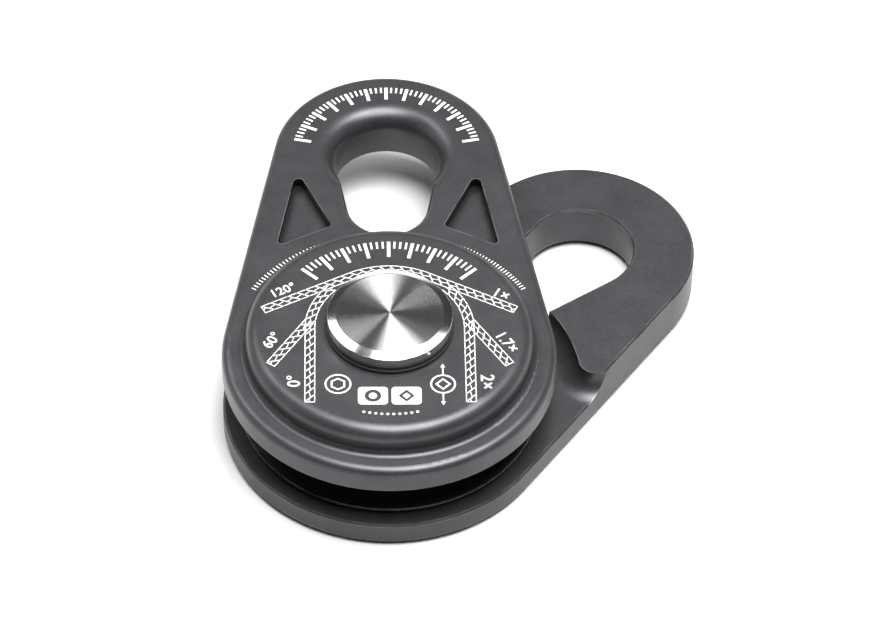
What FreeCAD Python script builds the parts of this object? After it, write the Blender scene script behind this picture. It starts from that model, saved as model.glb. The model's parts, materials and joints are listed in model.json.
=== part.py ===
"""Snatch block: one rope sheave between two teardrop side plates on a headed axle.

The axle's line is the Z axis and Z = 0 is the floor under the lower plate. The upper plate's
eye lies on +Y; the lower plate is swung clockwise, seen from above. Sizes are in millimetres.
"""
import FreeCAD, Part
import math
import os

Vector = FreeCAD.Vector
UP = Vector(0, 0, 1)
ORIGIN = Vector(0, 0, 0)

# Side plates: plan.
HUB_END_R = 66.0
EYE_REACH = 110.0
EYE_R = 21.6
EYE_WALL = 24.9
EYE_TAPER = 5.2
EYE_FOOT_GAP = 4.6
SWING_DEG = 46.0

# Side plates: heights.
PLATE_T = 11.3
ROPE_GAP = 19.8
EYE_FACE_GAP = 0.6
OUTER_ROUND = 3.4
INNER_CHAMFER = 0.8
UPPER_BELL_R = 7.5
LOWER_BELL_R = 5.0
EYE_EDGE_BREAK = 1.0

# The eye end thickens towards the mid-plane, outside a radius a little over the hub end's.
SHOULDER_SETBACK = 11.0
SHOULDER_COVE_R = 8.8
SHOULDER_CORNER_R = 6.7
CORNER_OVERLAP = 0.3

# Hub boss on the upper plate.
BOSS_SETBACK = 9.5
BOSS_H = 11.5
BOSS_ROUND = 5.5
BOSS_COVE = 2.5

# Weight pockets beside the upper eye.
POCKET_DEPTH = 4.0
POCKET_TIP_R = 2.2
POCKET_CORNER_R = 1.7
POCKET_EDGE_WALL = 11.8
POCKET_EYE_WALL = 8.4
POCKET_BOSS_GAP = 14.0
POCKET_TIP_DROP = 17.4

# Axle and its head.
AXLE_R = 15.0
RUNNING_CLEARANCE = 0.05
END_FLOAT = 0.1
HEAD_OVERHANG = 9.6
HEAD_T = 4.7
HEAD_BEVEL_W = 3.5
HEAD_BEVEL_H = 1.4
FOOT_STEP = 2.5
HEAD_WASHER_T = 1.9
HEAD_WASHER_PROUD = 0.3
HEAD_SPIGOT_SETBACK = 3.6
SEAL_RING_T = 1.9
SEAL_RING_PROUD = 0.6
EDGE_BREAK = 0.4

# Bushes and thrust washers.
BUSH_WALL = 3.5
THRUST_WASHER_T = 2.4
THRUST_WASHER_W = 5.4
THRUST_RECESS_CLEARANCE = 0.3

# Sheave.
SHEAVE_SETBACK = 6.3
SHEAVE_SIDE_GAP = 0.7
TREAD_R = 45.0
ROPE_GROOVE_R = 5.5
LIP_W = 1.9
SHEAVE_EDGE_ROUND = 1.2
HUB_SEAL_WALL = 1.2
HUB_SEAL_W = 2.2
HUB_SEAL_GROOVE = 2.2

# What holds the axle to the lower plate.
DISC_R = 24.0
DISC_T = 3.0
DISC_RIM_GAP = 0.2
DISC_INSET = 0.4
DISC_SCREW_R = 2.0
DISC_SCREW_HEAD_R = 3.9
DISC_SCREW_LENGTH = 12.0
SCREW_COUNT = 3
HEX_ACROSS_R = 1.45
HEX_DEPTH = 1.5
DOWEL_R = 2.0
DOWEL_DEPTH = 5.0
DISC_SEAL_MARGIN = 1.3
DISC_SEAL_R = 0.9
GREASE_WAY_R = 1.6
CROSS_WAY_R = 1.2
GREASE_PLUG_R = 2.6
GREASE_PLUG_LENGTH = 7.0
ROOM = 0.05

# What follows from the sizes above: plan.
EYE_END_R = EYE_R + EYE_WALL
BOSS_R = HUB_END_R - BOSS_SETBACK
SHEAVE_R = HUB_END_R - SHEAVE_SETBACK
SHOULDER_R = HUB_END_R + SHOULDER_SETBACK
EYE_FOOT_R = EYE_R - EYE_TAPER
EYE_FOOT_REACH = BOSS_R + BOSS_COVE + EYE_FOOT_GAP + EYE_FOOT_R
HEAD_R = AXLE_R + HEAD_OVERHANG
FOOT_R = AXLE_R - FOOT_STEP
HEAD_WASHER_R = HEAD_R + HEAD_WASHER_PROUD
HEAD_SPIGOT_R = HEAD_R - HEAD_SPIGOT_SETBACK
SEAL_RING_R = HEAD_R + SEAL_RING_PROUD
BUSH_BORE_R = AXLE_R + RUNNING_CLEARANCE
BUSH_R = BUSH_BORE_R + BUSH_WALL
THRUST_WASHER_R = BUSH_R + THRUST_WASHER_W
HUB_SEAL_IN_R = THRUST_WASHER_R + THRUST_RECESS_CLEARANCE + HUB_SEAL_WALL
DISC_SEAL_RING_R = DISC_R - DISC_SEAL_MARGIN - DISC_SEAL_R
DISC_SCREW_RING_R = (GREASE_PLUG_R + FOOT_R) / 2
DOWEL_RING_R = (FOOT_R + DISC_SEAL_RING_R - DISC_SEAL_R) / 2
PITCH_DEG = 360.0 / SCREW_COUNT

# What follows from them: heights of the stack.
MID_Z = PLATE_T + ROPE_GAP / 2
LOWER_INNER_Z = PLATE_T
UPPER_INNER_Z = PLATE_T + ROPE_GAP
TOP_PLATE_Z = UPPER_INNER_Z + PLATE_T
BOSS_Z = TOP_PLATE_Z + BOSS_H
EYE_T = MID_Z - EYE_FACE_GAP / 2
SEAL_RING_Z = BOSS_Z + END_FLOAT
HEAD_WASHER_Z = SEAL_RING_Z + SEAL_RING_T
HEAD_Z = HEAD_WASHER_Z + HEAD_WASHER_T
HEAD_TOP_Z = HEAD_Z + HEAD_T
SHEAVE_BOTTOM_Z = LOWER_INNER_Z + SHEAVE_SIDE_GAP
SHEAVE_TOP_Z = UPPER_INNER_Z - SHEAVE_SIDE_GAP
HUB_BOTTOM_Z = LOWER_INNER_Z + THRUST_WASHER_T + END_FLOAT
HUB_TOP_Z = UPPER_INNER_Z - THRUST_WASHER_T - END_FLOAT
DISC_TOP_Z = DISC_INSET + DISC_T


def polar(radius, degrees):
    """Return the point at this radius and angle on the XY plane."""
    angle = math.radians(degrees)
    return Vector(radius * math.cos(angle), radius * math.sin(angle), 0)


def cylinder(radius, bottom, top, x=0.0, y=0.0):
    """Return an upright cylinder between two heights."""
    return Part.makeCylinder(radius, top - bottom, Vector(x, y, bottom), UP)


def tube(inner, outer, bottom, top):
    """Return an upright tube on the axle's line."""
    return cylinder(outer, bottom, top).cut(cylinder(inner, bottom - 1, top + 1))


def tangent_points(near_centre, near_r, far_centre, far_r, side):
    """Return where one outside tangent touches two circles; side is +1 left or -1 right."""
    along = far_centre - near_centre
    length = along.Length
    heading = math.degrees(math.atan2(along.y, along.x))
    lean = math.degrees(math.acos((near_r - far_r) / length))
    angle = heading + side * lean
    return near_centre + polar(near_r, angle), far_centre + polar(far_r, angle)


def rounded_outline(corners):
    """Return the closed wire drawn round circles, given as (x, y, radius) counter-clockwise."""
    count = len(corners)
    arrivals = {}
    departures = {}
    edges = []
    for index in range(count):
        x, y, radius = corners[index]
        next_x, next_y, next_r = corners[(index + 1) % count]
        here = Vector(x, y, 0)
        there = Vector(next_x, next_y, 0)
        start, end = tangent_points(here, radius, there, next_r, -1)
        departures[index] = start
        arrivals[(index + 1) % count] = end
        edges.append(Part.makeLine(start, end))
    arcs = []
    for index in range(count):
        x, y, radius = corners[index]
        centre = Vector(x, y, 0)
        start = arrivals[index] - centre
        end = departures[index] - centre
        first = math.atan2(start.y, start.x)
        sweep = (math.atan2(end.y, end.x) - first) % (2 * math.pi)
        middle = centre + polar(radius, math.degrees(first + sweep / 2))
        arcs.append(Part.Arc(arrivals[index], middle, departures[index]).toShape())
    return Part.Wire(Part.__sortEdges__(edges + arcs))


def prism(wire, bottom, top):
    """Return the solid that a flat wire sweeps between two heights."""
    face = Part.Face(wire)
    face.translate(Vector(0, 0, bottom))
    return face.extrude(Vector(0, 0, top - bottom))


def edges_at(shape, height):
    """Return the edges that lie wholly on one level."""
    found = []
    for edge in shape.Edges:
        box = edge.BoundBox
        if abs(box.ZMin - height) < 1e-4 and abs(box.ZMax - height) < 1e-4:
            found.append(edge)
    return found


def revolve(steps, x=0.0, y=0.0):
    """Turn a profile round an upright line. Steps are (r, z) or (r, z, mid_r, mid_z) for an arc."""
    edges = []
    count = len(steps)
    for index in range(count):
        start = Vector(steps[index - 1][0], 0, steps[index - 1][1])
        end = Vector(steps[index][0], 0, steps[index][1])
        if len(steps[index]) == 4:
            middle = Vector(steps[index][2], 0, steps[index][3])
            edges.append(Part.Arc(start, middle, end).toShape())
        else:
            edges.append(Part.makeLine(start, end))
    solid = Part.Face(Part.Wire(edges)).revolve(ORIGIN, UP, 360)
    solid.translate(Vector(x, y, 0))
    return solid


def quarter(centre_r, centre_z, radius, toward_r, toward_z):
    """Return the middle point of a quarter round, toward the given signs."""
    reach = radius * math.sqrt(0.5)
    return centre_r + toward_r * reach, centre_z + toward_z * reach


def teardrop():
    """Return a side plate's outline with its eye end on +Y."""
    return rounded_outline([(0, 0, HUB_END_R), (0, EYE_REACH, EYE_END_R)])


def egg(growth, height):
    """Return the eye opening's outline, grown all round, at a height."""
    foot = (0, EYE_FOOT_REACH, EYE_FOOT_R + growth)
    wire = rounded_outline([foot, (0, EYE_REACH, EYE_R + growth)])
    wire.translate(Vector(0, 0, height))
    return wire


def eye_opening():
    """Return the egg-shaped hole through an eye end, with its edges broken at both faces."""
    hole = prism(egg(0, 0), -1, EYE_T + 1)
    flare = EYE_EDGE_BREAK + ROOM
    outer = Part.makeLoft([egg(flare, -ROOM), egg(0, EYE_EDGE_BREAK)], True, True)
    flare = INNER_CHAMFER + ROOM
    inner = Part.makeLoft([egg(0, EYE_T - INNER_CHAMFER), egg(flare, EYE_T + ROOM)], True, True)
    return [hole, outer, inner]


def shoulder_cutter():
    """Return what is cleared round the axle above the plate's inner face, coved at its foot."""
    flat_r = SHOULDER_R - SHOULDER_COVE_R
    cove_z = PLATE_T + SHOULDER_COVE_R
    bend = quarter(flat_r, cove_z, SHOULDER_COVE_R, 1, -1)
    bottom = PLATE_T - INNER_CHAMFER - 1
    top = EYE_T + SHOULDER_COVE_R
    return revolve([
        (0, bottom),
        (flat_r, bottom),
        (flat_r, PLATE_T),
        (SHOULDER_R, cove_z) + bend,
        (SHOULDER_R, top),
        (0, top),
    ])


def corner_cutter(side):
    """Return what rounds off one outer corner of the shoulder; side is +1 for +X."""
    hub = Vector(0, 0, 0)
    eye = Vector(0, EYE_REACH, 0)
    hub_touch, eye_touch = tangent_points(hub, HUB_END_R, eye, EYE_END_R, -side)
    edge_way = (eye_touch - hub_touch).normalize()
    outward = (hub_touch - hub).normalize()
    centre_r = SHOULDER_R + SHOULDER_CORNER_R
    offset = HUB_END_R - SHOULDER_CORNER_R + CORNER_OVERLAP
    along = math.sqrt(centre_r ** 2 - offset ** 2)
    centre = outward * offset + edge_way * along
    hubward = (hub - centre).normalize()
    reach = HUB_END_R
    corners = [centre, centre + hubward * reach]
    corners.append(centre + (hubward + outward) * reach)
    corners.append(centre + outward * reach)
    corners.append(centre)
    bottom = PLATE_T - INNER_CHAMFER - 1
    top = EYE_T + 5
    wedge = prism(Part.makePolygon(corners), bottom, top)
    foot_r = SHOULDER_CORNER_R + SHOULDER_COVE_R
    cove_z = PLATE_T + SHOULDER_COVE_R
    bend = quarter(foot_r, cove_z, SHOULDER_COVE_R, -1, -1)
    post = revolve([
        (0, bottom - 1),
        (foot_r, bottom - 1),
        (foot_r, PLATE_T),
        (SHOULDER_CORNER_R, cove_z) + bend,
        (SHOULDER_CORNER_R, top + 1),
        (0, top + 1),
    ], centre.x, centre.y)
    return wedge.cut(post)


def bell_cutter(radius):
    """Return the cutter that rounds the eye's mouth on the outer face, at Z = 0."""
    rim_r = EYE_R + radius
    bend = quarter(rim_r, radius, radius, -1, -1)
    return revolve([
        (0, -1),
        (rim_r, -1),
        (rim_r, 0),
        (EYE_R, radius) + bend,
        (0, radius),
    ], 0, EYE_REACH)


def side_plate(bell_r):
    """Return a plain side plate: outer face on Z = 0, eye end on +Y thick towards +Z."""
    plate = prism(teardrop(), 0, PLATE_T)
    plate = plate.makeFillet(OUTER_ROUND, edges_at(plate, 0))
    plate = plate.makeChamfer(INNER_CHAMFER, edges_at(plate, PLATE_T))
    block = prism(teardrop(), PLATE_T - INNER_CHAMFER, EYE_T)
    block = block.makeChamfer(INNER_CHAMFER, edges_at(block, EYE_T))
    block = block.cut(shoulder_cutter())
    for side in (-1, 1):
        block = block.cut(corner_cutter(side))
    plate = plate.fuse(block)
    for cutter in eye_opening():
        plate = plate.cut(cutter)
    plate = plate.cut(bell_cutter(bell_r))
    return plate.removeSplitter()


def lower_side_plate():
    """Return the lower plate with the recess that takes the retaining disc."""
    plate = side_plate(LOWER_BELL_R)
    plate = plate.cut(cylinder(DISC_R + DISC_RIM_GAP, -1, DISC_TOP_Z))
    plate = plate.cut(cylinder(FOOT_R, -1, PLATE_T + 1))
    groove = tube(
        DISC_SEAL_RING_R - DISC_SEAL_R - ROOM,
        DISC_SEAL_RING_R + DISC_SEAL_R + ROOM,
        DISC_TOP_Z - 1,
        DISC_TOP_Z + 2 * DISC_SEAL_R + ROOM,
    )
    plate = plate.cut(groove)
    for degrees in (0, 180):
        spot = polar(DOWEL_RING_R, degrees)
        plate = plate.cut(cylinder(DOWEL_R, 0, DISC_TOP_Z + DOWEL_DEPTH, spot.x, spot.y))
    plate.rotate(ORIGIN, UP, -SWING_DEG)
    return plate


def pocket_cutter(side):
    """Return one weight pocket's cutter, between the eye and the edge; side is +1 for +X."""
    lean = math.asin((HUB_END_R - EYE_END_R) / EYE_REACH)
    tip_reach = EYE_REACH - POCKET_TIP_DROP
    tip_offset = HUB_END_R - POCKET_EDGE_WALL - POCKET_TIP_R
    tip_x = (tip_offset - tip_reach * math.sin(lean)) / math.cos(lean)
    tip = (side * tip_x, tip_reach, POCKET_TIP_R)
    foot_r = BOSS_R + BOSS_COVE + POCKET_BOSS_GAP
    inner_x = EYE_FOOT_R + POCKET_EYE_WALL
    inner = (side * inner_x, math.sqrt(foot_r ** 2 - inner_x ** 2), POCKET_CORNER_R)
    outer_offset = HUB_END_R - POCKET_EDGE_WALL - POCKET_CORNER_R
    turn = lean + math.acos(outer_offset / foot_r)
    outer = (side * foot_r * math.cos(turn), foot_r * math.sin(turn), POCKET_CORNER_R)
    order = [tip, inner, outer] if side > 0 else [tip, outer, inner]
    return prism(rounded_outline(order), -1, POCKET_DEPTH)


def boss():
    """Return the hub boss standing on the outer face, below Z = 0, with a cove at its root."""
    face_r = BOSS_R - BOSS_ROUND
    edge = quarter(face_r, BOSS_ROUND - BOSS_H, BOSS_ROUND, 1, -1)
    foot_r = BOSS_R + BOSS_COVE
    cove = quarter(foot_r, -BOSS_COVE, BOSS_COVE, -1, 1)
    return revolve([
        (0, 1),
        (0, -BOSS_H),
        (face_r, -BOSS_H),
        (BOSS_R, BOSS_ROUND - BOSS_H) + edge,
        (BOSS_R, -BOSS_COVE),
        (foot_r, 0) + cove,
        (foot_r, 1),
    ])


def upper_side_plate():
    """Return the upper plate: the same blank turned over, with boss, pockets and bush bore."""
    plate = side_plate(UPPER_BELL_R)
    plate = plate.fuse(boss())
    for side in (-1, 1):
        plate = plate.cut(pocket_cutter(side))
    plate = plate.cut(cylinder(BUSH_R, -BOSS_H - 1, PLATE_T + 1))
    plate = plate.removeSplitter()
    plate.rotate(ORIGIN, Vector(0, 1, 0), 180)
    plate.translate(Vector(0, 0, TOP_PLATE_Z))
    return plate


def rope_sheave():
    """Return the grooved wheel, recessed at its hub for the thrust washers and seals."""
    groove_r = TREAD_R + ROPE_GROOVE_R
    half = (SHEAVE_TOP_Z - SHEAVE_BOTTOM_Z) / 2
    mouth = half - LIP_W
    edge = half - SHEAVE_EDGE_ROUND
    edge_r = SHEAVE_R - SHEAVE_EDGE_ROUND
    low_round = quarter(edge_r, MID_Z - edge, SHEAVE_EDGE_ROUND, 1, -1)
    high_round = quarter(edge_r, MID_Z + edge, SHEAVE_EDGE_ROUND, 1, 1)
    bore_r = BUSH_R
    wheel = revolve([
        (bore_r, SHEAVE_BOTTOM_Z),
        (edge_r, SHEAVE_BOTTOM_Z),
        (SHEAVE_R, MID_Z - edge) + low_round,
        (SHEAVE_R, MID_Z - mouth),
        (groove_r, MID_Z - ROPE_GROOVE_R),
        (groove_r, MID_Z + ROPE_GROOVE_R, TREAD_R, MID_Z),
        (SHEAVE_R, MID_Z + mouth),
        (SHEAVE_R, MID_Z + edge),
        (edge_r, SHEAVE_TOP_Z) + high_round,
        (bore_r, SHEAVE_TOP_Z),
    ])
    recess_r = THRUST_WASHER_R + THRUST_RECESS_CLEARANCE
    wheel = wheel.cut(cylinder(recess_r, SHEAVE_BOTTOM_Z - 1, HUB_BOTTOM_Z))
    wheel = wheel.cut(cylinder(recess_r, HUB_TOP_Z, SHEAVE_TOP_Z + 1))
    seal_out_r = HUB_SEAL_IN_R + HUB_SEAL_W
    low_groove = tube(HUB_SEAL_IN_R, seal_out_r, SHEAVE_BOTTOM_Z - 1, SHEAVE_BOTTOM_Z + HUB_SEAL_GROOVE)
    high_groove = tube(HUB_SEAL_IN_R, seal_out_r, SHEAVE_TOP_Z - HUB_SEAL_GROOVE, SHEAVE_TOP_Z + 1)
    return wheel.cut(low_groove).cut(high_groove)


def sheave_seal(upper):
    """Return one hub seal: a ring that fills its groove and reaches almost to the plate."""
    inner = HUB_SEAL_IN_R + ROOM
    outer = HUB_SEAL_IN_R + HUB_SEAL_W - ROOM
    if upper:
        return tube(inner, outer, SHEAVE_TOP_Z - HUB_SEAL_GROOVE, UPPER_INNER_Z - END_FLOAT)
    return tube(inner, outer, LOWER_INNER_Z + END_FLOAT, SHEAVE_BOTTOM_Z + HUB_SEAL_GROOVE)


def hex_socket(x, y, radius, depth):
    """Return the cutter for a hexagon socket opening at the screw's head, on Z = DISC_INSET."""
    corners = []
    for index in range(7):
        corners.append(Vector(x, y, 0) + polar(radius, 60 * index))
    return prism(Part.makePolygon(corners), DISC_INSET - 1, DISC_INSET + depth)


def screw_body(x, y, room):
    """Return a countersunk screw's outer shape, grown by the given room."""
    cone_h = DISC_SCREW_HEAD_R - DISC_SCREW_R
    head = Part.makeCone(DISC_SCREW_HEAD_R + room, DISC_SCREW_R + room, cone_h, Vector(x, y, DISC_INSET), UP)
    shank_top = DISC_INSET + DISC_SCREW_LENGTH + room
    return head.fuse(cylinder(DISC_SCREW_R + room, DISC_INSET, shank_top, x, y))


def disc_screw(index):
    """Return one of the screws that pull the retaining disc against the axle's foot."""
    spot = polar(DISC_SCREW_RING_R, 90 + PITCH_DEG * index - SWING_DEG)
    screw = screw_body(spot.x, spot.y, 0)
    return screw.cut(hex_socket(spot.x, spot.y, HEX_ACROSS_R, HEX_DEPTH))


def screw_holes():
    """Return the holes for all the disc screws as one cutter."""
    holes = []
    for index in range(SCREW_COUNT):
        spot = polar(DISC_SCREW_RING_R, 90 + PITCH_DEG * index - SWING_DEG)
        holes.append(screw_body(spot.x, spot.y, ROOM))
    return holes[0].multiFuse(holes[1:])


def axle():
    """Return the headed pin: bevelled head, shank, and the foot that seats in the lower plate."""
    bevel_z = HEAD_TOP_Z - HEAD_BEVEL_H
    pin = revolve([
        (0, DISC_TOP_Z),
        (FOOT_R - EDGE_BREAK, DISC_TOP_Z),
        (FOOT_R, DISC_TOP_Z + EDGE_BREAK),
        (FOOT_R, LOWER_INNER_Z),
        (AXLE_R, LOWER_INNER_Z),
        (AXLE_R, HEAD_Z),
        (HEAD_R - EDGE_BREAK, HEAD_Z),
        (HEAD_R, HEAD_Z + EDGE_BREAK),
        (HEAD_R, bevel_z),
        (HEAD_R - HEAD_BEVEL_W, HEAD_TOP_Z),
        (0, HEAD_TOP_Z),
    ])
    pin = pin.cut(cylinder(GREASE_PLUG_R, DISC_TOP_Z - 1, DISC_INSET + GREASE_PLUG_LENGTH))
    pin = pin.cut(cylinder(GREASE_WAY_R, DISC_TOP_Z, MID_Z + 2 * GREASE_WAY_R))
    cross = Part.makeCylinder(CROSS_WAY_R, AXLE_R + 1, Vector(0, 0, MID_Z), Vector(1, 0, 0))
    return pin.cut(cross).cut(screw_holes())


def retaining_disc():
    """Return the disc let into the underside, countersunk for its screws and drilled for dowels."""
    rim = DISC_R - EDGE_BREAK
    disc = revolve([
        (0, DISC_INSET),
        (rim, DISC_INSET),
        (DISC_R, DISC_INSET + EDGE_BREAK),
        (DISC_R, DISC_TOP_Z),
        (0, DISC_TOP_Z),
    ])
    disc = disc.cut(screw_holes())
    disc = disc.cut(cylinder(GREASE_PLUG_R, 0, DISC_TOP_Z + 1))
    for degrees in (0, 180):
        spot = polar(DOWEL_RING_R, degrees - SWING_DEG)
        disc = disc.cut(cylinder(DOWEL_R, 0, DISC_TOP_Z + 1, spot.x, spot.y))
    return disc


def foot_dowel(degrees):
    """Return one dowel that keys the disc to the lower plate."""
    spot = polar(DOWEL_RING_R, degrees - SWING_DEG)
    top = DISC_TOP_Z + DOWEL_DEPTH
    pin = cylinder(DOWEL_R, DISC_INSET, top, spot.x, spot.y)
    return pin.makeChamfer(EDGE_BREAK, edges_at(pin, top) + edges_at(pin, DISC_INSET))


def grease_plug():
    """Return the set screw that closes the axle's grease way."""
    plug = cylinder(GREASE_PLUG_R, DISC_INSET + EDGE_BREAK, DISC_INSET + GREASE_PLUG_LENGTH)
    return plug.cut(hex_socket(0, 0, HEX_ACROSS_R, 2 * HEX_DEPTH))


def disc_seal_ring():
    """Return the ring that seals the disc's seat."""
    centre = Vector(0, 0, DISC_TOP_Z + DISC_SEAL_R)
    return Part.makeTorus(DISC_SEAL_RING_R, DISC_SEAL_R, centre, UP)


def head_washer():
    """Return the black washer under the head, with the spigot that carries the load."""
    rim = HEAD_WASHER_R - EDGE_BREAK
    return revolve([
        (BUSH_BORE_R, SEAL_RING_Z),
        (HEAD_SPIGOT_R, SEAL_RING_Z),
        (HEAD_SPIGOT_R, HEAD_WASHER_Z),
        (rim, HEAD_WASHER_Z),
        (HEAD_WASHER_R, HEAD_WASHER_Z + EDGE_BREAK),
        (HEAD_WASHER_R, HEAD_Z - EDGE_BREAK),
        (rim, HEAD_Z),
        (BUSH_BORE_R, HEAD_Z),
    ])


def head_seal_ring():
    """Return the black ring round the washer's spigot, rounded outside."""
    top = HEAD_WASHER_Z - ROOM
    middle = (SEAL_RING_Z + top) / 2
    corner = SEAL_RING_R - (top - SEAL_RING_Z) / 2
    return revolve([
        (HEAD_SPIGOT_R + ROOM, SEAL_RING_Z),
        (corner, SEAL_RING_Z),
        (corner, top, SEAL_RING_R, middle),
        (HEAD_SPIGOT_R + ROOM, top),
    ])


def thrust_washer(bottom):
    """Return a thrust washer standing on the given height."""
    return tube(BUSH_BORE_R, THRUST_WASHER_R, bottom, bottom + THRUST_WASHER_T)


nodes = {
    "lower_side_plate": lower_side_plate(),
    "upper_side_plate": upper_side_plate(),
    "rope_sheave": rope_sheave(),
    "axle": axle(),
    "head_washer": head_washer(),
    "head_seal_ring": head_seal_ring(),
    "sheave_bush": tube(BUSH_BORE_R, BUSH_R, HUB_BOTTOM_Z, HUB_TOP_Z),
    "upper_plate_bush": tube(BUSH_BORE_R, BUSH_R, UPPER_INNER_Z, BOSS_Z),
    "lower_thrust_washer": thrust_washer(LOWER_INNER_Z),
    "upper_thrust_washer": thrust_washer(UPPER_INNER_Z - THRUST_WASHER_T),
    "lower_sheave_seal": sheave_seal(False),
    "upper_sheave_seal": sheave_seal(True),
    "retaining_disc": retaining_disc(),
    "disc_seal_ring": disc_seal_ring(),
    "foot_dowel_1": foot_dowel(0),
    "foot_dowel_2": foot_dowel(180),
    "grease_plug": grease_plug(),
}
for number in range(SCREW_COUNT):
    nodes["disc_screw_%d" % (number + 1)] = disc_screw(number)

os.makedirs("parts", exist_ok=True)
for name, shape in nodes.items():
    solid = shape.Solids[0] if len(shape.Solids) == 1 else shape
    solid.exportStep("parts/%s.step" % name)
    box = solid.BoundBox
    print(name, len(shape.Solids), shape.isValid(), round(shape.Volume), round(box.ZMin, 2), round(box.ZMax, 2))
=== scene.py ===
# %% [markdown]
# # A snatch block
# A snatch block turns a winch rope. A grooved wheel, the sheave, runs on a headed axle
# between two teardrop plates, and the plates swing apart so that the rope can be laid in
# without threading its end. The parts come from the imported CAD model, and they are fixed
# here: their places and shapes are never touched, only what their surfaces look like. The
# axle alone is modelled again, further down. Deselecting comes first, because the import
# leaves every part selected, and an operator works on all that is selected.

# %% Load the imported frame
import json
import math
import bpy
from mathutils import Matrix, Vector


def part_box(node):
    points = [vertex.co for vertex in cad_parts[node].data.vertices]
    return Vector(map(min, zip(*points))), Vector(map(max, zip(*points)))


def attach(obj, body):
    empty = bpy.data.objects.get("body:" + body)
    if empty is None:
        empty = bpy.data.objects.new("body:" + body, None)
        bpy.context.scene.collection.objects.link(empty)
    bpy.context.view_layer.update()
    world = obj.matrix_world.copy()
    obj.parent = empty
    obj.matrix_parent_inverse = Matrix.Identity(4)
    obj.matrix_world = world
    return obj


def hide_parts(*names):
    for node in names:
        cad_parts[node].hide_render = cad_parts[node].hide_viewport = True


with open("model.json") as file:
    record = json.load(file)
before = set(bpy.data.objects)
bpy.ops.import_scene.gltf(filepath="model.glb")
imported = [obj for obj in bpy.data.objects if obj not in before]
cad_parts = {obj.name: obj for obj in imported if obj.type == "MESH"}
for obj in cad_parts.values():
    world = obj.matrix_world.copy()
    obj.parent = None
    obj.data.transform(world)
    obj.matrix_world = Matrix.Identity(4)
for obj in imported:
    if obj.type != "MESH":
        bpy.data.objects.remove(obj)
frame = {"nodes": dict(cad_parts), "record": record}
bpy.ops.object.select_all(action="DESELECT")
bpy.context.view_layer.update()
MM = 0.001

# %% [markdown]
# ## Camera
# The block is seen from about 46 degrees above the table, from far off, through a long
# lens, which keeps the round parts from looking stretched. The camera could be aimed with
# a constraint, but a matrix built from its own three axes also holds the slight roll, and
# nothing has to be evaluated first.

# %% Camera
EYE_POINT = Vector((-0.0224, -1.2152, 1.32935))
SIGHT_LINE = Vector((0.0238, 0.6922, -0.7214)).normalized()
ROLL_DEG = -1.35
LENS = 184.18
SENSOR = 36.0

bpy.ops.object.camera_add(location=(0, 0, 0))
camera = bpy.context.object
camera.name = "camera"
camera.data.lens = LENS
camera.data.sensor_width = SENSOR
camera.data.clip_start = 0.05
camera.data.clip_end = 50.0
level_right = SIGHT_LINE.cross(Vector((0, 0, 1))).normalized()
roll = Matrix.Rotation(math.radians(ROLL_DEG), 3, SIGHT_LINE)
right = roll @ level_right
above = right.cross(SIGHT_LINE)
turn = Matrix((right, above, -SIGHT_LINE)).transposed()
camera.matrix_world = Matrix.Translation(EYE_POINT) @ turn.to_4x4()
bpy.context.scene.camera = camera
print("camera lens", camera.data.lens, "at", [round(v, 3) for v in EYE_POINT])

# %% [markdown]
# ## Floor and light
# Dark satin metal shows its shape by what it mirrors, so the light matters more than the
# colour. One wide soft panel hangs overhead: the rounded edges catch it and go bright.
# Two high ones, left and right, put grey wedges on the axle's head between the bright
# ones, and a low one behind lights the far side of its bevel. The flat faces mirror the
# panel high at the back, so that one is very weak and the faces stay dark. Weak panels at
# the sides and the pale floor light the upright walls. The room is dim, which keeps the
# hollows dark.

# %% Floor
FLOOR_SIZE = 12
FLOOR_Z = -0.0001
PAPER_TONE = (0.6, 0.6, 0.6, 1)

bpy.ops.mesh.primitive_grid_add(
    x_subdivisions=8, y_subdivisions=8, size=FLOOR_SIZE, location=(0, 0, FLOOR_Z)
)
floor = bpy.context.object
floor.name = "floor"
bpy.ops.object.select_all(action="DESELECT")

paper = bpy.data.materials.new("pale_paper")
paper.use_nodes = True
paper_face = paper.node_tree.nodes["Principled BSDF"]
paper_face.inputs["Base Color"].default_value = PAPER_TONE
paper_face.inputs["Roughness"].default_value = 0.9
paper_face.inputs["Specular IOR Level"].default_value = 0.1
floor.data.materials.append(paper)
print("floor", floor.name)


# %% Soft panels and room
ROOM_TONE = (0.06, 0.06, 0.063, 1)


def soft_panel(name, place, size, brightness, target=(0.02, 0.04, 0.02)):
    """Hang an area light that faces the target; brightness is the panel's own radiance."""
    bpy.ops.object.light_add(type="AREA", location=place)
    panel = bpy.context.object
    panel.name = name
    panel.data.shape = "RECTANGLE"
    panel.data.size = size[0]
    panel.data.size_y = size[1]
    panel.data.energy = brightness * math.pi * size[0] * size[1]
    aim = Vector(target) - Vector(place)
    panel.rotation_euler = aim.to_track_quat("-Z", "Y").to_euler()
    bpy.ops.object.select_all(action="DESELECT")
    print(name, "at", place, "radiance", brightness)


soft_panel("overhead_panel", (0.3, -0.12, 2.15), (1.6, 1.3), 21.0)
soft_panel("back_panel", (0.0, 2.6, 2.2), (3.2, 1.6), 0.04)
soft_panel("low_back_panel", (0.0, 2.6, 0.25), (3.0, 0.5), 2.0, (0.0, 0.0, 0.25))
soft_panel("high_left_panel", (-1.26, 0.9, 1.85), (0.9, 1.4), 6.0)
soft_panel("high_right_panel", (1.45, 0.7, 2.0), (0.8, 0.9), 2.6)
soft_panel("left_panel", (-2.6, 0.2, 0.9), (2.6, 1.4), 1.0)
soft_panel("right_panel", (2.6, 0.2, 0.9), (2.6, 1.4), 0.5)

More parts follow.
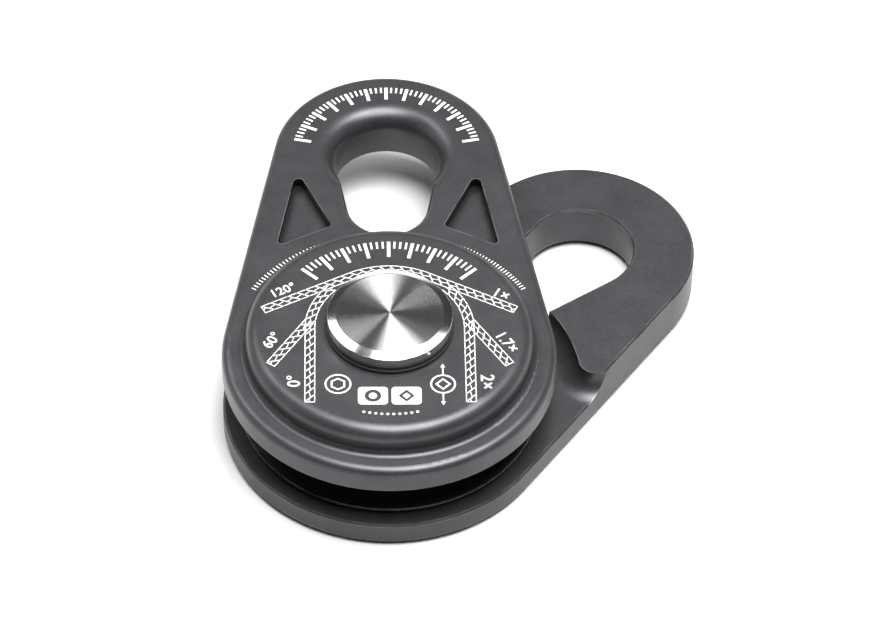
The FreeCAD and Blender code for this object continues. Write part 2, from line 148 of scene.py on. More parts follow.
room = bpy.data.worlds.new("dim_room")
room.use_nodes = True
room.node_tree.nodes["Background"].inputs["Color"].default_value = ROOM_TONE
room.node_tree.nodes["Background"].inputs["Strength"].default_value = 1.0
bpy.context.scene.world = room
bpy.context.scene.view_settings.view_transform = "Standard"
print("room light", room.name)


# %% [markdown]
# ## Building shader nodes
# Every finish below is a small tree of nodes. Writing each node out takes four lines, so
# three helpers do it. One adds a node and feeds its inputs. One starts a node group with
# named inputs and outputs, which is how one effect is shared by several finishes. One
# adds a Math node and hands back its result.

# %% Helpers for nodes
def add_node(tree, kind, feeds, **settings):
    """Add a node, set its properties, and feed its inputs with values or other sockets."""
    node = tree.nodes.new(kind)
    for key, value in settings.items():
        setattr(node, key, value)
    for name, value in feeds.items():
        if isinstance(value, bpy.types.NodeSocket):
            tree.links.new(value, node.inputs[name])
        else:
            node.inputs[name].default_value = value
    return node


def start_group(name, takes, gives):
    """Start a shader node group and return its tree and its input and output nodes."""
    tree = bpy.data.node_groups.new(name, "ShaderNodeTree")
    for label, value in takes.items():
        kind = "NodeSocketVector" if value is None else "NodeSocketFloat"
        socket = tree.interface.new_socket(label, in_out="INPUT", socket_type=kind)
        if value is not None:
            socket.default_value = value
    for label in gives:
        tree.interface.new_socket(label, in_out="OUTPUT", socket_type="NodeSocketFloat")
    return tree, tree.nodes.new("NodeGroupInput").outputs, tree.nodes.new("NodeGroupOutput").inputs


def maths(tree, operation, first, second=0.0):
    """Return the result of one Math node."""
    return add_node(tree, "ShaderNodeMath", {0: first, 1: second}, operation=operation).outputs[0]


print("node helpers ready")

# %% [markdown]
# ## Blasted grain
# Before anodising, the plates are blasted with fine beads, which leaves a dense field of
# tiny dents. A painted texture could be wrapped on, but it would stretch on the
# rounds. Noise in three dimensions has no seams and the same size everywhere: a fine one
# for the dents and a slow one for the faint clouds that a dye bath leaves.

# %% Blasted grain group
grain_tree, takes, gives = start_group(
    "blasted_grain",
    {"Place": None, "Dent Size": 0.0004, "Cloud Size": 0.012},
    ["Dents", "Clouds"],
)
per_dent = maths(grain_tree, "DIVIDE", 1.0, takes["Dent Size"])
per_cloud = maths(grain_tree, "DIVIDE", 1.0, takes["Cloud Size"])
dents = add_node(grain_tree, "ShaderNodeTexNoise", {
    "Vector": takes["Place"], "Scale": per_dent, "Detail": 2.0, "Roughness": 0.6,
})
clouds = add_node(grain_tree, "ShaderNodeTexNoise", {
    "Vector": takes["Place"], "Scale": per_cloud, "Detail": 4.0, "Roughness": 0.55,
})
grain_tree.links.new(dents.outputs["Fac"], gives["Dents"])
grain_tree.links.new(clouds.outputs["Fac"], gives["Clouds"])
print("group", grain_tree.name)

# %% [markdown]
# ## Turning marks
# A lathe tool leaves one long spiral, so every turned part carries fine rings round its
# axis. Here a point's distance from the axle's line plus its height, over the rings'
# pitch, is its ring number, which gives rings on end faces and on cylinders alike.
# One-dimensional noise of that number makes rings of uneven depth, as a worn tool does,
# and a slower one tints broad bands.

# %% Turning marks group
turning_tree, takes, gives = start_group(
    "turning_marks",
    {"Place": None, "Ring Pitch": 0.0003, "Band Width": 0.002},
    ["Rings", "Bands"],
)
place_xyz = add_node(turning_tree, "ShaderNodeSeparateXYZ", {"Vector": takes["Place"]}).outputs
level = add_node(turning_tree, "ShaderNodeCombineXYZ", {"X": place_xyz["X"], "Y": place_xyz["Y"]})
from_axle = add_node(
    turning_tree, "ShaderNodeVectorMath", {0: level.outputs["Vector"]}, operation="LENGTH"
).outputs["Value"]
along = maths(turning_tree, "ADD", from_axle, place_xyz["Z"])
for size, detail, result in (("Ring Pitch", 2.0, "Rings"), ("Band Width", 1.0, "Bands")):
    number = maths(turning_tree, "DIVIDE", along, takes[size])
    noise = add_node(
        turning_tree, "ShaderNodeTexNoise", {"W": number, "Scale": 1.0, "Detail": detail},
        noise_dimensions="1D",
    )
    turning_tree.links.new(noise.outputs["Fac"], gives[result])
print("group", turning_tree.name)

# %% [markdown]
# ## Edge wear and painted edge highlight
# The Bevel node asks what the surface would face if its edges were rounded over. Where
# that differs from how it really faces, there is an edge. The difference, broken up by
# patchy noise, is the edge mask. On the small steel parts it is wear, where plating rubs
# off first where a part stands proudest. On the plates and the sheave it is a painted
# highlight, a lighter colour where light would catch the edges. It follows the real shape
# of every part, so nothing has to be painted by hand.

# %% Edge wear and painted highlight group
wear_and_highlight_tree, takes, gives = start_group(
    "edge_wear_and_highlight",
    {"Place": None, "Width": 0.0005, "Patch Size": 0.006, "Gain": 5.0},
    ["Mask"],
)
rounded = add_node(wear_and_highlight_tree, "ShaderNodeBevel", {"Radius": takes["Width"]}, samples=4)
faced = add_node(wear_and_highlight_tree, "ShaderNodeNewGeometry", {})
alike = add_node(
    wear_and_highlight_tree, "ShaderNodeVectorMath",
    {0: rounded.outputs["Normal"], 1: faced.outputs["Normal"]}, operation="DOT_PRODUCT",
).outputs["Value"]
edge = maths(wear_and_highlight_tree, "MULTIPLY", maths(wear_and_highlight_tree, "SUBTRACT", 1.0, alike), takes["Gain"])
per_patch = maths(wear_and_highlight_tree, "DIVIDE", 1.0, takes["Patch Size"])
patches = add_node(wear_and_highlight_tree, "ShaderNodeTexNoise", {
    "Vector": takes["Place"], "Scale": per_patch, "Detail": 3.0,
})
patchy = add_node(wear_and_highlight_tree, "ShaderNodeMapRange", {
    "Value": patches.outputs["Fac"], "From Min": 0.35, "From Max": 0.65,
}).outputs["Result"]
mask = add_node(
    wear_and_highlight_tree, "ShaderNodeMath", {0: edge, 1: patchy}, operation="MULTIPLY", use_clamp=True
).outputs[0]
wear_and_highlight_tree.links.new(mask, gives["Mask"])
print("group", wear_and_highlight_tree.name)

# %% [markdown]
# ## Recesses: painted shade
# Pockets, bores and inner corners are painted darker than open faces: painted shade. The
# Ambient Occlusion node measures how open each point is; this group turns that into a
# mask, one on open faces and zero in deep recesses. It also keeps the edge wear and the
# painted edge highlight off the inner corners.

# %% Openness group
open_shade_tree, takes, gives = start_group(
    "openness_painted_shade",
    {"Depth": 0.012, "Dark At": 0.45, "Light At": 0.85},
    ["Mask"],
)
seen = add_node(
    open_shade_tree, "ShaderNodeAmbientOcclusion", {"Distance": takes["Depth"]},
    samples=6, only_local=True,
)
mask = add_node(open_shade_tree, "ShaderNodeMapRange", {
    "Value": seen.outputs["AO"], "From Min": takes["Dark At"], "From Max": takes["Light At"],
}).outputs["Result"]
open_shade_tree.links.new(mask, gives["Mask"])
print("group", open_shade_tree.name)

# %% [markdown]
# ## Starting a finish
# Each finish begins the same way: a material, its Principled shader, and Object
# coordinates. Those are metres from the shared origin, so a grain keeps its real
# size. The shader's uniform numbers go straight onto its own sockets.

# %% Helpers for finishes
finishes = {}


def start_finish(name, metallic, **sockets):
    """Start a material and return its node tree, its shader and the place on the object."""
    material = bpy.data.materials.new(name)
    material.use_nodes = True
    tree = material.node_tree
    shader = tree.nodes["Principled BSDF"]
    shader.inputs["Metallic"].default_value = metallic
    for label, value in sockets.items():
        shader.inputs[label.replace("_", " ")].default_value = value
    place = add_node(tree, "ShaderNodeTexCoord", {}).outputs["Object"]
    finishes[name] = material
    print("finish", name)
    return tree, shader, place


def use_group(tree, group, **feeds):
    """Place a shared group in a material with this material's own values."""
    node = tree.nodes.new("ShaderNodeGroup")
    node.node_tree = group
    for name, value in feeds.items():
        socket = node.inputs[name.replace("_", " ")]
        if isinstance(value, bpy.types.NodeSocket):
            tree.links.new(value, socket)
        else:
            socket.default_value = value
    return node.outputs


def blend_colours(tree, amount, first, second):
    """Return a colour between two others by an amount."""
    node = tree.nodes.new("ShaderNodeMix")
    node.data_type = "RGBA"
    colours = [s for s in node.inputs if s.type == "RGBA"]
    tree.links.new(amount, node.inputs["Factor"])
    for socket, value in zip(colours, (first, second)):
        if isinstance(value, bpy.types.NodeSocket):
            tree.links.new(value, socket)
        else:
            socket.default_value = (*value, 1.0)
    return [s for s in node.outputs if s.type == "RGBA"][0]


def spread(tree, value, low, high):
    """Return a noise value stretched between two limits; noise rarely leaves 0.3 to 0.7."""
    feeds = {"Value": value, "From Min": 0.3, "From Max": 0.7, "To Min": low, "To Max": high}
    return add_node(tree, "ShaderNodeMapRange", feeds).outputs["Result"]


def raise_surface(tree, shader, height, distance, strength=1.0):
    """Feed a height to the shader's normal through a Bump node; distance is in metres."""
    feeds = {"Height": height, "Distance": distance, "Strength": strength}
    bump = add_node(tree, "ShaderNodeBump", feeds)
    tree.links.new(bump.outputs["Normal"], shader.inputs["Normal"])


# %% [markdown]
# ## Grey anodised plates
# The side plates are machined aluminium, blasted and anodised a dark, slightly blue grey.
# The oxide is a thin glassy skin with dye in it over bright metal, so the finish is
# neither pure metal nor paint. A part-metallic shader with a wide gloss says that in one
# layer. Clouds vary the tone a little and dents break up the gloss. Painted shade darkens
# the hollows, and a painted highlight makes the open edges lighter.

# %% Grey anodised
DEEP_GREY, PALE_GREY = (0.039, 0.040, 0.0425), (0.073, 0.074, 0.078)
# Near-black for the painted shade in the hollows, and pale grey for the painted edge highlight.
PAINTED_SHADE_GREY, PAINTED_HIGHLIGHT_GREY = (0.010, 0.010, 0.011), (0.36, 0.36, 0.37)
CLOUD_SHARE, DENT_SHARE = 0.45, 0.55

tree, shader, place = start_finish("grey_anodised", 0.7)
grain = use_group(tree, grain_tree, Place=place, Dent_Size=0.00045, Cloud_Size=0.014)
wear_and_highlight = use_group(tree, wear_and_highlight_tree, Place=place, Width=0.0009, Patch_Size=0.009, Gain=5.0)
cloud_part = spread(tree, grain["Clouds"], 0.0, CLOUD_SHARE)
dent_part = spread(tree, grain["Dents"], 0.0, DENT_SHARE)
tone = blend_colours(tree, maths(tree, "ADD", cloud_part, dent_part), DEEP_GREY, PALE_GREY)
# Painted shade: the base colour goes towards near-black where the occlusion mask finds a recess.
openness_painted_shade = use_group(tree, open_shade_tree, Depth=0.005, Dark_At=0.62, Light_At=0.82)
tone = blend_colours(tree, openness_painted_shade["Mask"], PAINTED_SHADE_GREY, tone)
# Painted highlight: the edge mask lightens the open edges towards pale grey, but not in recesses.
faint_painted_highlight = maths(tree, "MULTIPLY", maths(tree, "MULTIPLY", wear_and_highlight["Mask"], 0.65), openness_painted_shade["Mask"])
tone = blend_colours(tree, faint_painted_highlight, tone, PAINTED_HIGHLIGHT_GREY)
tree.links.new(tone, shader.inputs["Base Color"])
tree.links.new(spread(tree, grain["Dents"], 0.35, 0.44), shader.inputs["Roughness"])
raise_surface(tree, shader, grain["Dents"], 0.00002, 0.7)

# %% [markdown]
# ## Black anodised sheave
# The sheave is turned from the same metal and dyed black. Its groove is smooth, so the
# rope doesn't chafe, and the lathe's rings still show as fine lines. Its rims get a
# painted highlight: a lighter colour where light would catch them.

# %% Black anodised
DEEP_BLACK, PALE_BLACK = (0.020, 0.020, 0.021), (0.034, 0.034, 0.036)
# Pale grey for the painted highlight on the sheave's rims.
PAINTED_HIGHLIGHT_BLACK = (0.5, 0.5, 0.51)

tree, shader, place = start_finish("sheave_black", 0.6)
turned = use_group(tree, turning_tree, Place=place, Ring_Pitch=0.00035, Band_Width=0.0025)
wear_and_highlight = use_group(tree, wear_and_highlight_tree, Place=place, Width=0.0008, Patch_Size=0.02, Gain=6.0)
tone = blend_colours(tree, turned["Bands"], DEEP_BLACK, PALE_BLACK)
# Painted highlight: the edge mask lightens the sheave's rims towards pale grey.
tone = blend_colours(tree, maths(tree, "MULTIPLY", wear_and_highlight["Mask"], 0.9), tone, PAINTED_HIGHLIGHT_BLACK)
tree.links.new(tone, shader.inputs["Base Color"])
tree.links.new(spread(tree, turned["Rings"], 0.26, 0.38), shader.inputs["Roughness"])
raise_surface(tree, shader, turned["Rings"], 0.000004)

# %% [markdown]
# ## Turned steel head
# The axle's head is bare stainless steel, faced on a lathe. Its rings are far too fine to
# see one by one, but together they smear a highlight outwards across them, which makes
# the bright wedges that pass through the centre. Anisotropy does this: a tangent that
# runs round the axle tells the shader which way the rings lie.

# %% Turned steel
DEEP_STEEL, PALE_STEEL = (0.66, 0.655, 0.645), (0.74, 0.735, 0.73)

tree, shader, place = start_finish(
    "steel_polished", 1.0, Anisotropic=0.98, Anisotropic_Rotation=0.25
)
turned = use_group(tree, turning_tree, Place=place, Ring_Pitch=0.00022, Band_Width=0.0016)
tone = blend_colours(tree, turned["Bands"], DEEP_STEEL, PALE_STEEL)
tree.links.new(tone, shader.inputs["Base Color"])
tree.links.new(spread(tree, turned["Rings"], 0.20, 0.25), shader.inputs["Roughness"])
round_axle = add_node(tree, "ShaderNodeTangent", {}, direction_type="RADIAL", axis="Z")
tree.links.new(round_axle.outputs["Tangent"], shader.inputs["Tangent"])
raise_surface(tree, shader, turned["Rings"], 0.0000003)

# %% [markdown]
# ## Small steel parts
# The retaining disc, its screws, the dowels and the grease plug are plated steel: a
# slightly cloudy grey metal with a fine grain and rubbed edges.

# %% Plated steel
DEEP_PLATING, PALE_PLATING = (0.42, 0.42, 0.43), (0.52, 0.52, 0.53)
RUBBED_PLATING = (0.66, 0.66, 0.66)

tree, shader, place = start_finish("screw_steel", 1.0)
grain = use_group(tree, grain_tree, Place=place, Dent_Size=0.00025, Cloud_Size=0.004)
wear_and_highlight = use_group(tree, wear_and_highlight_tree, Place=place, Width=0.0003, Patch_Size=0.002, Gain=4.0)
tone = blend_colours(tree, spread(tree, grain["Clouds"], 0.0, 1.0), DEEP_PLATING, PALE_PLATING)
tone = blend_colours(tree, wear_and_highlight["Mask"], tone, RUBBED_PLATING)
tree.links.new(tone, shader.inputs["Base Color"])
tree.links.new(spread(tree, grain["Dents"], 0.28, 0.40), shader.inputs["Roughness"])
raise_surface(tree, shader, grain["Dents"], 0.000006, 0.6)

# %% [markdown]
# ## Bronze bushes
# Bushes and thrust washers are sintered bronze: porous, so that it holds oil, and browner
# where the oil has soaked in.

# %% Bronze
OILED_BRONZE, DRY_BRONZE = (0.34, 0.20, 0.09), (0.58, 0.38, 0.18)

tree, shader, place = start_finish("bronze", 1.0)
grain = use_group(tree, grain_tree, Place=place, Dent_Size=0.0002, Cloud_Size=0.003)
tone = blend_colours(tree, spread(tree, grain["Clouds"], 0.0, 1.0), OILED_BRONZE, DRY_BRONZE)
tree.links.new(tone, shader.inputs["Base Color"])
tree.links.new(spread(tree, grain["Dents"], 0.35, 0.5), shader.inputs["Roughness"])
raise_surface(tree, shader, grain["Dents"], 0.00001, 0.8)

# %% [markdown]
# ## Rubber and nylon
# The seals are black rubber, dull with a faint bloom. The washer under the head is black
# nylon, a little glossier, with the rings of its turning.

# %% Seal rubber
DEEP_RUBBER, BLOOM_RUBBER = (0.010, 0.010, 0.010), (0.022, 0.022, 0.021)

tree, shader, place = start_finish("seal_rubber", 0.0)
grain = use_group(tree, grain_tree, Place=place, Dent_Size=0.0002, Cloud_Size=0.003)
tone = blend_colours(tree, spread(tree, grain["Clouds"], 0.0, 1.0), DEEP_RUBBER, BLOOM_RUBBER)
tree.links.new(tone, shader.inputs["Base Color"])
tree.links.new(spread(tree, grain["Dents"], 0.55, 0.72), shader.inputs["Roughness"])
raise_surface(tree, shader, grain["Dents"], 0.000008, 0.6)

# %% Washer nylon
DEEP_NYLON, PALE_NYLON = (0.005, 0.005, 0.006), (0.011, 0.011, 0.012)

tree, shader, place = start_finish("washer_nylon", 0.0)
turned = use_group(tree, turning_tree, Place=place, Ring_Pitch=0.0003, Band_Width=0.0016)
tone = blend_colours(tree, turned["Bands"], DEEP_NYLON, PALE_NYLON)
tree.links.new(tone, shader.inputs["Base Color"])
tree.links.new(spread(tree, turned["Rings"], 0.42, 0.54), shader.inputs["Roughness"])
raise_surface(tree, shader, turned["Rings"], 0.000004)

# %% [markdown]
# ## Dressing the CAD parts
# The record says which slot each part takes its finish from, and each finish above has
# its slot's name, so one loop dresses all the parts.

# %% Dress the parts
for row in frame["record"]["subparts"]:
    part = frame["nodes"][row["node"]]
    finish = finishes[row["material_slot"]]
    if not part.data.materials:
        part.data.materials.append(finish)
    for slot in part.material_slots:
        slot.material = finish
    print(part.name, "->", finish.name)

# %% [markdown]
# ## The headed axle
# The CAD axle has the right shape, but one part has one finish there, and on the real one
# the flat face shows its turning while the bevel round it is polished like a mirror. So
# the axle is modelled again: a cylinder for the shank, its ends extruded and scaled into
# head and foot, and a small Bevel modifier to ease the corners, which then catch thin
# bright lines.

# %% Polished steel
DEEP_SHINE, PALE_SHINE = (0.62, 0.605, 0.585), (0.68, 0.665, 0.65)

tree, shader, place = start_finish("steel_bevel", 1.0)
turned = use_group(tree, turning_tree, Place=place, Ring_Pitch=0.0002, Band_Width=0.003)
tone = blend_colours(tree, turned["Bands"], DEEP_SHINE, PALE_SHINE)
tree.links.new(tone, shader.inputs["Base Color"])
tree.links.new(spread(tree, turned["Rings"], 0.10, 0.17), shader.inputs["Roughness"])
raise_surface(tree, shader, turned["Rings"], 0.0000005)


# %% Helpers for modelling
def alone(piece):
    """Select one piece and make it active, so that an operator works on it only."""
    bpy.ops.object.select_all(action="DESELECT")
    piece.select_set(True)
    bpy.context.view_layer.objects.active = piece
    return piece


def settle(piece):
    """Put a piece's place, turn and size into its mesh."""
    alone(piece)
    bpy.ops.object.transform_apply(location=True, rotation=True, scale=True)
    return piece


def pick_faces(piece, wanted):
    """Select the faces whose centre and normal pass a test, and go into edit mode."""
    alone(piece)
    bpy.ops.object.mode_set(mode="EDIT")
    bpy.ops.mesh.select_mode(type="FACE")
    bpy.ops.mesh.select_all(action="DESELECT")
    bpy.ops.object.mode_set(mode="OBJECT")
    for face in piece.data.polygons:
        face.select = wanted(face.center, face.normal)
    bpy.ops.object.mode_set(mode="EDIT")


def grow_end(piece, up, steps):
    """Extrude an end face in steps: each has a rise in millimetres and a change of size."""
    way = 1 if up else -1
    end = max(v.co.z * way for v in piece.data.vertices)

    def on_end(centre, normal):
        return normal.z * way > 0.9 and abs(centre.z * way - end) < 1e-6

    pick_faces(piece, on_end)
    for rise, ratio in steps:
        bpy.ops.mesh.extrude_region_move(TRANSFORM_OT_translate={"value": (0, 0, way * rise * MM)})
        bpy.ops.transform.resize(value=(ratio, ratio, 1))
    bpy.ops.object.mode_set(mode="OBJECT")


print("modelling helpers ready")

# %% Model the axle
axle_low, axle_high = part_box("axle")
HEAD_R = axle_high.x / MM
HEAD_TOP = axle_high.z / MM
HEAD_T = 4.7
BEVEL_W = 3.5
BEVEL_H = 1.4
SHANK_R = 15.0
SHANK_LOW = 11.3
FOOT_R = 12.5
SIDES = 192
EASE_W = 0.22
INNER_RING = 0.3

shank_top = HEAD_TOP - HEAD_T
bpy.ops.mesh.primitive_cylinder_add(
    vertices=SIDES,
    radius=SHANK_R * MM,
    depth=(shank_top - SHANK_LOW) * MM,
    location=(0, 0, (shank_top + SHANK_LOW) / 2 * MM),
)
axle = settle(bpy.context.object)
axle.name = "headed_axle"
grow_end(axle, True, [
    (0, HEAD_R / SHANK_R),
    (HEAD_T - BEVEL_H, 1),
    (BEVEL_H, (HEAD_R - BEVEL_W) / HEAD_R),
    (0, INNER_RING),
])
grow_end(axle, False, [(0, FOOT_R / SHANK_R), (SHANK_LOW - axle_low.z / MM, 1)])
print("axle head radius", round(HEAD_R, 2), "mm, top at", round(HEAD_TOP, 2), "mm")

# %% Ease the axle's corners and dress it
ease = axle.modifiers.new("ease", "BEVEL")
ease.width = EASE_W * MM
ease.segments = 3
ease.limit_method = "ANGLE"
ease.angle_limit = math.radians(15)
alone(axle)
bpy.ops.object.modifier_apply(modifier=ease.name)
bpy.ops.object.shade_smooth_by_angle(angle=math.radians(12))
axle.data.materials.append(finishes["steel_polished"])
axle.data.materials.append(finishes["steel_bevel"])
for face in axle.data.polygons:
    on_top = face.normal.z > 0.995 and face.center.z > (HEAD_TOP - 0.1) * MM
    face.material_index = 0 if on_top else 1
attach(axle, "lower_side")
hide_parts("axle")
bpy.ops.object.select_all(action="DESELECT")
print("axle eased and dressed, faces", len(axle.data.polygons))

# %% [markdown]
# ## Modelling the laser marks
# A laser bleaches the dye, so the marks are pale lines with no depth that a finger can
# feel. They could be a mask in the shader, but lines as real, very thin slabs stay sharp
# at any distance. Each is a plane or circle, set to size, inset where it is only an
# outline, and repeated. A small set of helpers keeps that short.

# %% Laser-bleached lines
DEEP_BLEACH, PALE_BLEACH = (0.52, 0.52, 0.51), (0.66, 0.66, 0.65)

tree, shader, place = start_finish("laser_mark", 0.0)
grain = use_group(tree, grain_tree, Place=place, Dent_Size=0.0003, Cloud_Size=0.003)
tone = blend_colours(tree, spread(tree, grain["Clouds"], 0.0, 1.0), DEEP_BLEACH, PALE_BLEACH)
tree.links.new(tone, shader.inputs["Base Color"])
tree.links.new(spread(tree, grain["Dents"], 0.55, 0.7), shader.inputs["Roughness"])
raise_surface(tree, shader, grain["Dents"], 0.000006, 0.5)


# %% Helpers for flat marks
def join(pieces):
    """Join pieces into the first one."""
    alone(pieces[0])
    for piece in pieces[1:]:
        piece.select_set(True)
    bpy.ops.object.join()
    return bpy.context.object


def outline(piece, line):
    """Keep only a band of a given width, in millimetres, inside a flat piece's edge."""
    alone(piece)
    bpy.ops.object.mode_set(mode="EDIT")
    bpy.ops.mesh.select_all(action="SELECT")
    bpy.ops.mesh.inset(thickness=line * MM)
    bpy.ops.mesh.delete(type="FACE")
    bpy.ops.object.mode_set(mode="OBJECT")
    return piece


def flat_round(corners, x, y, half_x, half_y):
    """Add a filled flat shape with corners on a circle or an ellipse: four make a lozenge."""
    bpy.ops.mesh.primitive_circle_add(
        vertices=corners, radius=MM, fill_type="NGON", location=(x * MM, y * MM, 0)
    )
    bpy.context.object.scale = (half_x, half_y, 1)
    return settle(bpy.context.object)


def flat_bar(x, y, size_x, size_y):
    """Add a filled flat rectangle."""
    bpy.ops.mesh.primitive_plane_add(size=MM, location=(x * MM, y * MM, 0))
    bpy.context.object.scale = (size_x, size_y, 1)
    return settle(bpy.context.object)


def turned_copies(piece, centre_y, angles):
    """Copy a piece round an upright line on the Y axis, once for each angle, and join them."""
    centre = Matrix.Translation((0, centre_y * MM, 0))
    back = centre.inverted()
    copies = []
    for angle in angles:
        copy = piece.copy()
        copy.data = piece.data.copy()
        bpy.context.collection.objects.link(copy)
        copy.matrix_world = centre @ Matrix.Rotation(math.radians(angle), 4, "Z") @ back
        copies.append(settle(copy))
    bpy.data.objects.remove(piece)
    return join(copies)


def evenly(first, last, count):
    """Return evenly spaced numbers from the first to the last."""
    return [first + (last - first) * i / (count - 1) for i in range(count)]


print("helpers for flat marks ready")

# %% [markdown]
# ## Laying a mark on the plate
# A finished mark is lifted to its face, given a thickness of a few hundredths of a
# millimetre with Solidify, dressed, and made to ride on the upper plate, because the
# plate carries it round when it swings.

# %% Helper that lays a mark
BOSS_RISE = 11.5
SUNK = 0.02
boss_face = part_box("upper_side_plate")[1].z
plate_face = boss_face - BOSS_RISE * MM


def lay_mark(piece, name, face, lift=0.04):
    """Lift a mark to a face, thicken it down into the face and let it ride on the plate."""
    piece.name = name
    piece.data.name = name
    piece.location.z = face + lift * MM
    settle(piece)
    thicken = piece.modifiers.new("thicken", "SOLIDIFY")
    thicken.thickness = (lift + SUNK) * MM
    thicken.offset = -1
    bpy.ops.object.modifier_apply(modifier=thicken.name)
    piece.data.materials.clear()
    piece.data.materials.append(finishes["laser_mark"])
    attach(piece, "upper_side")
    bpy.ops.object.select_all(action="DESELECT")
    print("mark", name, "faces", len(piece.data.polygons))


print("boss face at", round(boss_face / MM, 2), "plate face at", round(plate_face / MM, 2))

# %% [markdown]
# ## Rope diagram
# The hub face shows how the load on the block depends on how far the rope turns: three
# braided ropes pass over the axle and leave at different angles. One braid cell is two
# long slanting lines, one from each edge past the middle, and two short ones that run on
# along the middle to the next cells, all between two edge lines. Copies turned about the
# axle make the bend, and an Array modifier makes the straight legs, which touch the
# bend's circle. Each rope is lifted a little differently, so that where two of them
# cross, their faces don't lie in one plane.

# %% Braid cell
ROPE_W = 3.8
LINE = 0.38
OVERLAP = 0.1


def thin_line(x, y, end_x, end_y):
    """Add a thin straight line between two places."""
    line = flat_bar(0, 0, math.hypot(end_x - x, end_y - y) + LINE / 2, LINE)
    line.rotation_euler.z = math.atan2(end_y - y, end_x - x)
    line.location = ((x + end_x) / 2 * MM, (y + end_y) / 2 * MM, 0)
    return settle(line)


def braid_cell(radius, pitch):
    """Make one cell of braid, running along Y at a distance from the axle."""
    half, knee, near, end = ROPE_W / 2, ROPE_W * 0.1, pitch * 0.15, pitch * 0.5
    return join([
        thin_line(radius - half, -end, radius + knee, near),
        thin_line(radius - knee, -near, radius + half, end),
        thin_line(radius + knee, near, radius, end),
        thin_line(radius, -end, radius - knee, -near),
        flat_bar(radius - half, 0, LINE, pitch + OVERLAP),
        flat_bar(radius + half, 0, LINE, pitch + OVERLAP),
    ])


print("braid", ROPE_W, "mm wide, lines", LINE, "mm")

# %% Rope bends and legs
FACE_EDGE = 50.4
PITCH = 4.1


def rope_legs(radius, leave_deg, hidden_run):
    """Make both straight legs of a rope that leaves a circle round the axle at an angle.

    The first stretch, hidden_run long, is left out where another rope lies over it.
    """
    run = math.sqrt(FACE_EDGE ** 2 - radius ** 2) - hidden_run
    cells = round(run / PITCH)
    legs = []
    for side in (1, -1):
        leg = braid_cell(radius, run / cells)
        repeat = leg.modifiers.new("repeat", "ARRAY")
        repeat.count = cells
        repeat.use_relative_offset = False
        repeat.use_constant_offset = True
        repeat.constant_offset_displace = (0, side * run / cells * MM, 0)
        alone(leg)
        bpy.ops.object.modifier_apply(modifier=repeat.name)
        leg.location.y = side * (hidden_run + run / cells / 2) * MM
        settle(leg)
        end_bar = flat_bar(radius, side * (hidden_run + run + OVERLAP), ROPE_W + LINE, LINE)
        leg = join([leg, end_bar])
        leg.rotation_euler.z = math.radians(90 + side * (leave_deg - 90))
        legs.append(settle(leg))
    return legs


def rope_bend(radius, first, last):
    """Make the part of a rope that lies round the axle between two angles."""
    cells = round(math.radians(last - first) * radius / PITCH)
    step = (last - first) / cells
    cell = braid_cell(radius, math.radians(step) * radius)
    return turned_copies(cell, 0, evenly(first + step / 2, last - step / 2, cells))


wide_rope = rope_legs(31.8, 118, 0) + [rope_bend(31.8, 62, 118)]
lay_mark(join(wide_rope), "rope_mark_wide", boss_face, 0.06)
lay_mark(join(rope_legs(28.2, 147, 14.2)), "rope_mark_middle", boss_face, 0.05)
straight_rope = rope_legs(31.2, 180, 0) + [rope_bend(31.2, 136, 180), rope_bend(31.2, 0, 44)]
lay_mark(join(straight_rope), "rope_mark_straight", boss_face, 0.04)

# %% [markdown]
# ## Scales
# A long tick and some short ones between, repeated round a centre, make a plain scale.
# One runs over the rope diagram, one round the eye, and two fine ones follow the ledge
# beside the boss.

# %% Tick scales
LONG_TICK_W = 1.35
SHORT_TICK_W = 0.8
SHORT_SHARE = 0.44


def scale_mark(name, centre_y, low_r, high_r, first, last, longs, shorts, face):
    """Lay a scale: long ticks from first to last angle with short ticks between them."""
    tall = high_r - low_r
    short = tall * SHORT_SHARE
    long_tick = flat_bar((low_r + high_r) / 2, centre_y, tall, LONG_TICK_W)
    short_tick = flat_bar(high_r - short / 2, centre_y, short, SHORT_TICK_W)
    gap = (last - first) / (longs - 1)
    between = []
    for start in evenly(first, last - gap, longs - 1):
        between.extend(evenly(start, start + gap, shorts + 2)[1:-1])
    long_ticks = turned_copies(long_tick, centre_y, evenly(first, last, longs))
    short_ticks = turned_copies(short_tick, centre_y, between)
    lay_mark(join([long_ticks, short_ticks]), name, face)


EYE_REACH = 110
scale_mark("hub_scale", 0, 38.8, 47.2, 43, 137, 9, 3, boss_face)
scale_mark("eye_scale", EYE_REACH, 31.8, 38.8, 12, 168, 13, 3, plate_face)
for name, first, last in (("ledge_scale_right", 31, 65), ("ledge_scale_left", 110, 149)):
    tick = flat_bar(62.6, 0, 2.0, 0.45)
    lay_mark(turned_copies(tick, 0, evenly(first, last, 26)), name, plate_face)

# %% [markdown]
# ## Numbers and symbols
# Numbers beside the ropes give the angle and how many times the pull they put on the
# block, as on a dial. Text is a curve object, so it becomes a mesh before it is placed.
# The symbols under the axle are plain: two ringed shapes, one with arrows, two rounded
# plates with a hole punched by a Boolean modifier, and a row of dots.

# %% Numbers
STROKE_GROWTH = 0.11


def number_mark(name, digits, x, y, lean_deg, size):
    """Lay a number centred on a point, its baseline turned by an angle."""
    bpy.ops.object.text_add(location=(0, 0, 0))
    text = bpy.context.object
    text.data.body = digits
    text.data.size = size * MM
    text.data.align_x = "CENTER"
    text.data.align_y = "CENTER"
    text.data.offset = STROKE_GROWTH * MM
    alone(text)
    bpy.ops.object.convert(target="MESH")
    number = bpy.context.object
    number.rotation_euler.z = math.radians(lean_deg)
    number.location = (x * MM, y * MM, 0)
    lay_mark(settle(number), name, boss_face)


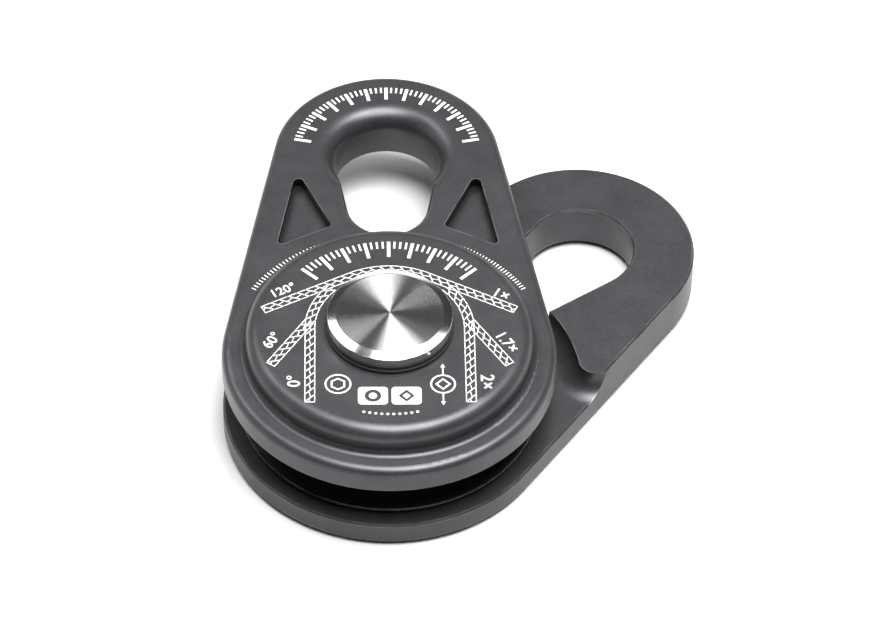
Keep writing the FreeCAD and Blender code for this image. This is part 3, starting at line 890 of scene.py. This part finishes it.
number_mark("angle_wide", "120\u00b0", -41.9, 20.2, 27, 5.8)
number_mark("angle_middle", "60\u00b0", -46.0, -6.9, 57, 6.2)
number_mark("angle_straight", "0\u00b0", -37.2, -28.6, 90, 7.0)
number_mark("times_wide", "1\u00d7", 44.1, 17.9, -27, 6.6)
number_mark("times_middle", "1.7\u00d7", 45.6, -8.0, -57, 6.6)
number_mark("times_straight", "2\u00d7", 37.4, -29.3, -90, 7.4)


# %% Ringed symbols
RING_LINE = 0.7
SHAPE_LINE = 0.65
SHAPE_SHARE = 0.62
ARROW_LINE = 0.55
ARROW_HEAD = 1.8


def ringed_shape(x, y, radius, corners):
    """Return a ring round the outline of a plain shape with a given number of corners."""
    inner = radius * SHAPE_SHARE
    ring = outline(flat_round(48, x, y, radius, radius), RING_LINE)
    return join([ring, outline(flat_round(corners, x, y, inner, inner), SHAPE_LINE)])


def arrow(x, foot_y, tip_y):
    """Return an upright arrow from its foot to its tip."""
    way = 1 if tip_y > foot_y else -1
    head = flat_round(3, x, tip_y - way * 1.0, 1.1, 1.3 * way)
    stem_middle = (foot_y + tip_y - way * ARROW_HEAD) / 2
    stem = flat_bar(x, stem_middle, ARROW_LINE, abs(tip_y - foot_y) - ARROW_HEAD)
    return join([stem, head])


lay_mark(ringed_shape(-20.3, -30.2, 5.2, 6), "nut_symbol", boss_face)
ringed_lozenge = ringed_shape(20.4, -30.3, 5.0, 4)
arrows = [arrow(20.4, -25.3, -19.8), arrow(20.4, -35.3, -41.2)]
lay_mark(join([ringed_lozenge, *arrows]), "pull_symbol", boss_face)

# %% Plate symbols and dots
PLATE_Y = -36.4
PLATE_SIZE = (11.6, 9.2)
CORNER_R = 1.5
HOLE_R = 3.2
DOT_R = 1.6


def plate_symbol(name, x, corners):
    """Lay a rounded plate with a hole of a given number of corners, and a dot in the hole."""
    plate = flat_bar(x, PLATE_Y, *PLATE_SIZE)
    alone(plate)
    bpy.ops.object.mode_set(mode="EDIT")
    bpy.ops.mesh.select_all(action="SELECT")
    bpy.ops.mesh.bevel(offset=CORNER_R * MM, segments=5, affect="VERTICES")
    bpy.ops.object.mode_set(mode="OBJECT")
    lay_mark(plate, name, boss_face)
    bpy.ops.mesh.primitive_cylinder_add(
        vertices=corners, radius=HOLE_R * MM, depth=2 * MM,
        location=(x * MM, PLATE_Y * MM, boss_face),
    )
    punch = bpy.context.object
    cut = plate.modifiers.new("punch", "BOOLEAN")
    cut.object = punch
    cut.solver = "EXACT"
    alone(plate)
    bpy.ops.object.modifier_apply(modifier=cut.name)
    bpy.data.objects.remove(punch)
    lay_mark(flat_round(corners, x, PLATE_Y, DOT_R, DOT_R), name + "_dot", boss_face)


plate_symbol("round_plate_symbol", -6.8, 40)
plate_symbol("lozenge_plate_symbol", 6.2, 4)
dot = flat_round(16, 46.0, 0, 0.6, 0.6)
lay_mark(turned_copies(dot, 0, evenly(-103, -77, 10)), "dot_row", boss_face)
